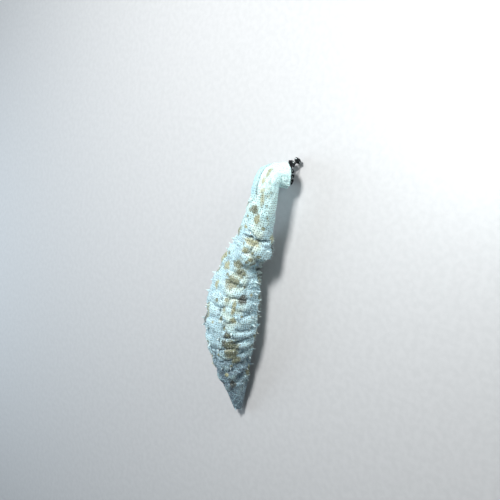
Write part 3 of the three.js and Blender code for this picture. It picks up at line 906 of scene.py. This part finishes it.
def make_short_feet():
    """Feet between the standing ones, most drawn up a little from the floor."""
    places = []
    for row, row_side in enumerate(SHORT_FOOT_ROWS):
        for index in range(SHORT_FEET_A_ROW):
            drift = 0.7 * scatter(index, row + 110.0)
            place = SHORT_FEET_FROM_MM + (index + drift) * SHORT_FEET_APART_MM
            places.append((place, row_side + 0.07 * (scatter(row + 120.0, index) - 0.5)))
    distance, side = np.array(places).T
    index = np.arange(len(distance))
    reach = vary(SHORT_FOOT_REACH_MM, index, 130.0)
    radius = vary(SHORT_FOOT_RADIUS_MM, index, 131.0)
    return feet_mesh("short_feet", distance, side, reach, radius)


# Materials

def fill(tree, made, inputs):
    """Sets a node's inputs to values, or links them to the outputs of other nodes."""
    for key, value in inputs.items():
        if isinstance(value, bpy.types.NodeSocket):
            tree.links.new(value, made.inputs[key])
        elif made.inputs[key].type == "RGBA":
            made.inputs[key].default_value = (*value, 1.0)
        else:
            made.inputs[key].default_value = value


def node(tree, kind, inputs, output, **settings):
    """One output of a new node."""
    made = tree.nodes.new(kind)
    for key, value in settings.items():
        setattr(made, key, value)
    fill(tree, made, inputs)
    return made.outputs[output]


def attribute(tree, name, output="Fac"):
    return node(tree, "ShaderNodeAttribute", {}, output, attribute_name=name)


def object_place(tree):
    return node(tree, "ShaderNodeTexCoord", {}, "Object")


def math_node(tree, operation, *values, clamp=False):
    return node(tree, "ShaderNodeMath", dict(enumerate(values)), 0, operation=operation, use_clamp=clamp)


def step_node(tree, value, low, high, to_low=0.0, to_high=1.0):
    inputs = {"Value": value, "From Min": low, "From Max": high, "To Min": to_low, "To Max": to_high}
    return node(tree, "ShaderNodeMapRange", inputs, "Result", interpolation_type="SMOOTHSTEP")


def mix_colour(tree, amount, first, second):
    return node(tree, "ShaderNodeMix", {0: amount, 6: first, 7: second}, 2, data_type="RGBA")


def mix_value(tree, amount, first, second):
    return node(tree, "ShaderNodeMix", {0: amount, 2: first, 3: second}, 0, data_type="FLOAT")


def noise(tree, size_mm, detail=3.0, roughness=0.5):
    inputs = {"Scale": 1 / (size_mm * MM), "Detail": detail, "Roughness": roughness}
    return node(tree, "ShaderNodeTexNoise", {**inputs, "Vector": object_place(tree)}, "Fac")


def dots(tree, apart_mm, randomness, feature="F1"):
    """Distance to the nearest dot or edge, on the skin's own lengths along and round."""
    inputs = {"Scale": 1 / apart_mm, "Randomness": randomness, "Vector": attribute(tree, "place", "Vector")}
    return node(tree, "ShaderNodeTexVoronoi", inputs, "Distance", feature=feature, voronoi_dimensions="2D")


def head_dots(tree):
    """Dots in space for the bent head, where lengths along the body don't fit its surface."""
    inputs = {"Scale": 1 / (HEAD_DOTS_MM * MM), "Randomness": 0.7, "Vector": object_place(tree)}
    distance = node(tree, "ShaderNodeTexVoronoi", inputs, "Distance", feature="F1")
    return step_node(tree, distance, 0.20, 0.36, 0.7, 0.0)


def bump(tree, height, strength, depth_mm):
    inputs = {"Strength": strength, "Distance": depth_mm * MM, "Height": height}
    return node(tree, "ShaderNodeBump", inputs, "Normal")


def share_of(tree, field, share):
    return math_node(tree, "MULTIPLY", attribute(tree, field), share)


def new_material(name, roughness):
    material = bpy.data.materials.new(name)
    material.use_nodes = True
    shader = material.node_tree.nodes["Principled BSDF"]
    shader.inputs["Roughness"].default_value = roughness
    return material, material.node_tree, shader


PALE = (0.48, 0.69, 0.76)
BRIGHT = (0.62, 0.86, 0.85)
BLUE = (0.36, 0.62, 0.72)
# Painted shade for the creases, the folds' troughs and the groove
CREASE_SHADE = (0.10, 0.15, 0.17)
OCHRE = (0.43, 0.43, 0.25)
OLIVE = (0.20, 0.21, 0.12)
DARK = (0.085, 0.085, 0.07)
# The tail's dark grey: partly its own colour, partly painted shade
TAIL_GREY_AND_SHADE = (0.075, 0.115, 0.165)
NET = (0.34, 0.52, 0.60)
CREAM = (0.62, 0.73, 0.60)
UNDER = (0.42, 0.50, 0.47)
WHITE_TIP = (0.80, 0.92, 0.90)
DOT = (0.045, 0.055, 0.055)
THROAT = (0.02, 0.022, 0.025)
BLACK = (0.003, 0.004, 0.005)
DARK_GREY = (0.012, 0.016, 0.020)
LOBE_EDGE = (0.75, 0.86, 0.86)

# Tints over the ground colour, in this order: field, strength and colour; the strip's blue is painted
# shade, and the tail's grey is partly its own colour and partly painted shade
GROUND_TINTS = (("cream", 0.7, CREAM), ("shaded_strip", 0.75, BLUE), ("under", 0.8, UNDER), ("tail_grey_and_shade", 0.85, TAIL_GREY_AND_SHADE))

# Sizes of the patterns
CLOUDS_MM = 9.0
GRAIN_MM = 1.6
NET_MM = 6.5
PEPPER_MM = 2.15
SPECKS_MM = 1.25
HEAD_DOTS_MM = 1.9
BLOTCH_RAGGEDNESS = 0.36
DOT_STRENGTH = 0.86


def ground_colour(tree):
    """Pale skin clouded with blue and tinted by place, with a pale net on the tail, whose darker grey is
    partly its own colour and partly painted shade, and a painted highlight on the cells' tops.
    """
    colour = mix_colour(tree, attribute(tree, "head"), PALE, BRIGHT)
    clouds = step_node(tree, noise(tree, CLOUDS_MM), 0.45, 0.75, 0.0, 0.35)
    colour = mix_colour(tree, clouds, colour, BLUE)
    for field, strength, tint in GROUND_TINTS:
        colour = mix_colour(tree, share_of(tree, field, strength), colour, tint)
    net = step_node(tree, dots(tree, NET_MM, 1.0, "DISTANCE_TO_EDGE"), 0.02, 0.14, 0.75, 0.0)
    colour = mix_colour(tree, share_of(tree, "tail_grey_and_shade", net), colour, NET)
    # Painted highlight on the tops of the cells
    return mix_colour(tree, share_of(tree, "cell_highlight", 0.4), colour, BRIGHT)


def with_blotches(tree, colour, grain):
    """The colour under ragged blotches, from ochre through olive to dark by their hue."""
    hue = attribute(tree, "hue")
    warm = mix_colour(tree, step_node(tree, hue, 0.1, 0.5), OCHRE, OLIVE)
    warm = mix_colour(tree, step_node(tree, hue, 0.5, 0.9), warm, DARK)
    ragged = math_node(tree, "MULTIPLY_ADD", grain, BLOTCH_RAGGEDNESS, -BLOTCH_RAGGEDNESS / 2)
    field = math_node(tree, "ADD", attribute(tree, "brown"), ragged)
    return mix_colour(tree, step_node(tree, field, 0.12, 0.75, 0.0, 0.92), colour, warm)


def dot_field(tree):
    """Where the fine dark dots lie: two sizes of them, and none on pale tips."""
    pepper = step_node(tree, dots(tree, PEPPER_MM, 0.5), 0.16, 0.33, 1.0, 0.0)
    specks = step_node(tree, dots(tree, SPECKS_MM, 0.9), 0.10, 0.22, 0.6, 0.0)
    both = math_node(tree, "MAXIMUM", pepper, specks)
    both = mix_value(tree, attribute(tree, "bend"), both, head_dots(tree))
    away = math_node(tree, "SUBTRACT", 1.0, attribute(tree, "tip"), clamp=True)
    both = math_node(tree, "MULTIPLY", both, away)
    return math_node(tree, "MULTIPLY", both, DOT_STRENGTH)


def skin_material():
    """Pale wet skin with ragged blotches and fine dark dots."""
    material, tree, shader = new_material("skin", 0.46)
    grain = noise(tree, GRAIN_MM, 4.0, 0.6)
    colour = with_blotches(tree, ground_colour(tree), grain)
    # Painted shade darkens the creases, the folds' troughs and the groove's line
    colour = mix_colour(tree, share_of(tree, "crease_shade", 0.8), colour, CREASE_SHADE)
    colour = mix_colour(tree, dot_field(tree), colour, DOT)
    # White tips are fainter where the tail is darkened, partly by painted shade
    tip_strength = step_node(tree, attribute(tree, "tail_grey_and_shade"), 0.0, 1.0, 0.75, 0.35)
    colour = mix_colour(tree, share_of(tree, "tip", tip_strength), colour, WHITE_TIP)
    colour = mix_colour(tree, attribute(tree, "inner"), colour, THROAT)
    fill(tree, shader, {
        "Base Color": colour,
        "Subsurface Weight": 0.12,
        "Subsurface Radius": (1.0, 0.7, 0.6),
        "Subsurface Scale": 1.5 * MM,
        "Roughness": step_node(tree, grain, 0.3, 0.7, 0.40, 0.58),
        "Normal": bump(tree, grain, 0.35, 0.3),
    })
    return material


def tentacle_material():
    """Black skin with white at the edges of the lobes."""
    material, tree, shader = new_material("tentacle", 0.5)
    grain = noise(tree, 0.9, 4.0, 0.6)
    colour = mix_colour(tree, step_node(tree, grain, 0.35, 0.75), BLACK, DARK_GREY)
    edge = math_node(tree, "ADD", attribute(tree, "edge"), math_node(tree, "MULTIPLY", grain, 0.3))
    colour = mix_colour(tree, step_node(tree, edge, 0.72, 0.88), colour, LOBE_EDGE)
    fill(tree, shader, {
        "Base Color": colour,
        "Specular IOR Level": 0.25,
        "Normal": bump(tree, grain, 0.4, 0.2),
    })
    return material


# The mouth and tentacles

MOUTH_AT = WALK_AT[-1]
MOUTH_DOWN = WALK_FORWARD[-1]
DISC_ACROSS = unit(np.cross(MOUTH_DOWN, (0.0, 1.0, 0.0)))
DISC_ALONG = np.cross(MOUTH_DOWN, DISC_ACROSS)

# The outline of the mouth's disc, as shares of its radius and depths
DISC_SIDES = 72
DISC_INSET_MM = 0.2
DISC_WRINKLES = 20
DISC_WRINKLE_MM = 0.16
DISC_PROFILE = ((0.02, -0.6), (0.12, -0.2), (0.20, 0.9), (0.32, 1.25), (0.48, 1.35), (0.66, 1.3),
                (0.82, 1.15), (0.94, 0.8), (1.0, 0.3), (0.96, -0.4), (0.5, -0.8), (0.02, -0.9))

# Tentacles: the stalk's outline as shares of its radius and length, and the lobes of the bush
TENTACLE_SIDES = 96
STALK_ROWS = ((0.02, -0.3), (1.05, -0.3), (1.0, 0.1), (0.86, 0.35), (0.80, 0.60), (0.95, 0.78))
STALK_END_MM = 1.2
BUSH_FLATNESS = 0.72
LEAF_LOBES = 8
LEAF_TEETH = 32
LEAF_SEED = 1.7
KNOB_SHARE = 0.12
FINE_KNOB_SHARE = 0.06


def make_oral_disc(material):
    """Dark wrinkled skin round the mouth slit, inside the collar."""
    turns = turns_round(DISC_SIDES)
    spokes = np.cos(turns)[:, None] * DISC_ACROSS + np.sin(turns)[:, None] * DISC_ALONG
    rows = []
    for share, depth in DISC_PROFILE:
        wrinkle = DISC_WRINKLE_MM * np.cos(DISC_WRINKLES * turns) * min(1, share * 1.6) * (depth > 0)
        level = MEETING_GAP_MM + depth + wrinkle
        row = MOUTH_AT + (ORAL_DISC_RADIUS_MM - DISC_INSET_MM) * share * spokes
        rows.append(row + level[:, None] * MOUTH_DOWN)
    quads, caps = tube_faces(1, len(rows), DISC_SIDES)
    edge = np.zeros(len(rows) * DISC_SIDES)
    disc = make_mesh("mouth_disc", np.concatenate(rows), quads, caps, {"edge": edge})
    add_piece(disc, material)
    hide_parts("oral_disc")


def tentacle_ends(ring, index, first_turn):
    """The root and the leaf's middle of one tentacle, by the rule of the solids."""
    turn = first_turn + index / ring["count"] * 2 * math.pi
    sideways = np.array((math.sin(turn), -math.cos(turn), 0.0))
    flat = unit(sideways - MOUTH_DOWN * sideways.dot(MOUTH_DOWN))
    depth = MEETING_GAP_MM * 2 + ORAL_DISC_THICKNESS_MM
    socket = MOUTH_AT + MOUTH_DOWN * depth + flat * ring["root"]
    held = REACHING.get(index) if ring is OUTER_RING else None
    if held:
        middle = np.array(held[:3]) + ORIGIN_SHIFT_MM
        return socket, middle, held[3]
    middle = MOUTH_AT + MOUTH_DOWN * (depth + ring["reach"]) + flat * ring["ring"]
    return socket, middle, ring["leaf"]


def leaf_outline(turns, seed):
    """A frilly outline of lobes with small teeth, as shares of the leaf's radius."""
    lobes = 0.80 + 0.16 * np.abs(np.cos(LEAF_LOBES / 2 * turns + seed)) ** 0.7
    return lobes + 0.055 * np.cos(LEAF_TEETH * turns + 3 * seed)


def bush_row(turn, turns, leaf, number):
    """Radii round the bush and how pale it is there, at one turn from its root to its tip."""
    outline = leaf_outline(turns, number * LEAF_SEED)
    lobes = np.cos(5 * turns + number + 2.2 * math.cos(4 * turn)) * math.cos(5 * turn)
    fine = FINE_KNOB_SHARE * np.cos(14 * turns + 9 * turn + number) * np.cos(17 * turn)
    size = leaf * (0.92 + (outline - 0.85) * math.sin(turn) + (KNOB_SHARE * lobes + fine))
    rim = math.exp(-((math.cos(turn) - 0.15) / 0.22) ** 2)
    return size, rim * (0.57 + 0.43 * np.cos(3 * turns + number))


def make_tentacle(number, socket, middle, leaf, stalk, material):
    """A stalk that opens into a knobbly bush with pale edges."""
    length = np.linalg.norm(middle - socket)
    axis = (middle - socket) / length
    across = unit(np.cross(axis, (0.0, 0.0, 1.0)))
    other = np.cross(axis, across)
    turns = turns_round(TENTACLE_SIDES)
    wheel = np.cos(turns)[:, None] * across + np.sin(turns)[:, None] * other
    rows = []
    edge = []
    for share, height in STALK_ROWS:
        fold = 1 + 0.05 * np.sin(length * height * 5 + number) + 0.04 * np.cos(6 * turns)
        level = height * (length - STALK_END_MM) if height > 0 else height
        rows.append(socket + axis * level + wheel * (stalk * share * fold)[:, None])
        edge.append(np.zeros(TENTACLE_SIDES))
    for turn in np.linspace(0.12, 0.985, BUSH_ROWS) * math.pi:
        size, pale = bush_row(turn, turns, leaf, number)
        forward = axis * (BUSH_FLATNESS * size * math.cos(turn))[:, None]
        rows.append(middle - forward + wheel * (size * math.sin(turn))[:, None])
        edge.append(pale)
    quads, caps = tube_faces(1, len(rows), TENTACLE_SIDES)
    name = f"tentacle_skin_{number:02d}"
    tentacle = make_mesh(name, np.concatenate(rows), quads, caps, {"edge": np.concatenate(edge)})
    add_piece(tentacle, material)
    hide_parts(f"tentacle_{number:02d}")


def make_tentacles(material):
    number = 1
    for ring, first_turn in ((OUTER_RING, 0.0), (INNER_RING, 0.2)):
        for index in range(ring["count"]):
            socket, middle, leaf = tentacle_ends(ring, index, first_turn)
            make_tentacle(number, socket, middle, leaf, ring["stalk"], material)
            number += 1


# The camera, lights and floor

CLIP_START_M = 0.01

# Lights: name, place in millimetres, size in millimetres, power and colour
LIGHTS = (
    ("key", (-130, -560, 800), 240, 12.2, (1.0, 0.99, 0.97)),
    ("left", (900, -60, 560), 500, 4, (0.74, 0.88, 1.0)),
    ("head", (-330, -200, 130), 120, 0.45, (0.94, 1.0, 1.0)),
)
LIGHT_TARGET_M = (0.0, 0.0, 0.02)
WORLD_COLOUR = (0.86, 0.93, 1.0, 1.0)
WORLD_STRENGTH = 0.15
FLOOR_HALF_M = 4.0
FLOOR_GRAIN_MM = 6.0
FLOOR_DARKER = (0.50, 0.51, 0.52)
FLOOR_LIGHTER = (0.53, 0.54, 0.55)
def turned(vector_mm):
    x, y, z = vector_mm
    return np.array((
        x * math.cos(ANIMAL_TURN) - y * math.sin(ANIMAL_TURN),
        x * math.sin(ANIMAL_TURN) + y * math.cos(ANIMAL_TURN),
        z,
    ))


def view_vectors():
    forward = turned((math.cos(CAMERA_ELEVATION), 0, -math.sin(CAMERA_ELEVATION)))
    upward = turned((0, -1, 0))
    return forward, upward, np.cross(forward, upward)


def aim_point():
    across = -AIM_HEIGHT_MM * math.cos(CAMERA_ELEVATION) / math.sin(CAMERA_ELEVATION)
    along_y = AIM_PIXEL_Y_FROM_BODY_ORIGIN * MM_PER_PIXEL
    return turned((across, along_y, AIM_HEIGHT_MM)) + ORIGIN_SHIFT_MM


def place_by_axes(obj, at_mm, forward, upward, right):
    rotation = Matrix((right, upward, -forward)).transposed().to_4x4()
    obj.matrix_world = Matrix.Translation(Vector(at_mm) * MM) @ rotation


def make_camera():
    forward, upward, right = view_vectors()
    data = bpy.data.cameras.new("camera")
    data.sensor_fit = "HORIZONTAL"
    width = IMAGE_PIXELS * MM_PER_PIXEL
    data.angle = 2 * math.atan(width / 2 / CAMERA_AWAY_MM)
    data.clip_start = CLIP_START_M
    camera = put_in_scene("camera", data)
    place_by_axes(camera, aim_point() - forward * CAMERA_AWAY_MM, forward, upward, right)
    bpy.context.scene.camera = camera


def make_light(name, from_mm, size_mm, power, colour):
    """A square soft light that faces the middle of the animal."""
    data = bpy.data.lights.new(name, "AREA")
    data.size = size_mm * MM
    data.energy = power
    data.color = colour
    light = put_in_scene(name, data)
    place = Vector(turned(from_mm)) * MM
    light.location = place
    light.rotation_euler = (Vector(LIGHT_TARGET_M) - place).to_track_quat("-Z", "Y").to_euler()
    light.visible_camera = False


def make_lights():
    for settings in LIGHTS:
        make_light(*settings)
    world = bpy.data.worlds.new("studio")
    world.use_nodes = True
    background = world.node_tree.nodes["Background"]
    background.inputs["Color"].default_value = WORLD_COLOUR
    background.inputs["Strength"].default_value = WORLD_STRENGTH
    bpy.context.scene.world = world


def make_floor():
    size = FLOOR_HALF_M
    corners = [(-size, -size, 0), (size, -size, 0), (size, size, 0), (-size, size, 0)]
    mesh = bpy.data.meshes.new("floor")
    mesh.from_pydata(corners, [], [(0, 1, 2, 3)])
    floor = put_in_scene("floor", mesh)
    material, tree, shader = new_material("floor", 0.8)
    grain = step_node(tree, noise(tree, FLOOR_GRAIN_MM), 0.3, 0.7)
    fill(tree, shader, {"Base Color": mix_colour(tree, grain, FLOOR_DARKER, FLOOR_LIGHTER)})
    mesh.materials.append(material)


def set_tones():
    """Plain tones, so that the pale skin keeps its colour."""
    bpy.context.scene.view_settings.view_transform = "Standard"
    bpy.context.scene.view_settings.look = "None"


# Rings of points: name, distance along, count, height, radius and lean along the body
POINT_RINGS = (
    ("collar_points", BODY_LENGTH - 0.6, 30, 1.5, 0.75, 0.9),
    ("collar_back_points", BODY_LENGTH - 4.5, 24, 0.9, 0.6, 0.5),
    ("vent_points", VENT_AT_MM + 0.4, 5, 2.4, 0.95, -2.2),
)


def build():
    set_tones()
    make_camera()
    make_lights()
    make_floor()
    skin_look = skin_material()
    skin = add_piece(make_skin(), skin_look)
    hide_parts(*FLESH_NODES)
    add_piece(make_papillae(), skin_look)
    add_piece(make_flank_points(), skin_look)
    add_piece(make_warts(), skin_look)
    for settings in POINT_RINGS:
        add_piece(ring_of_points(*settings), skin_look)
    add_piece(make_standing_feet(), skin_look)
    add_piece(make_short_feet(), skin_look)
    tentacle_look = tentacle_material()
    make_oral_disc(tentacle_look)
    make_tentacles(tentacle_look)


build()
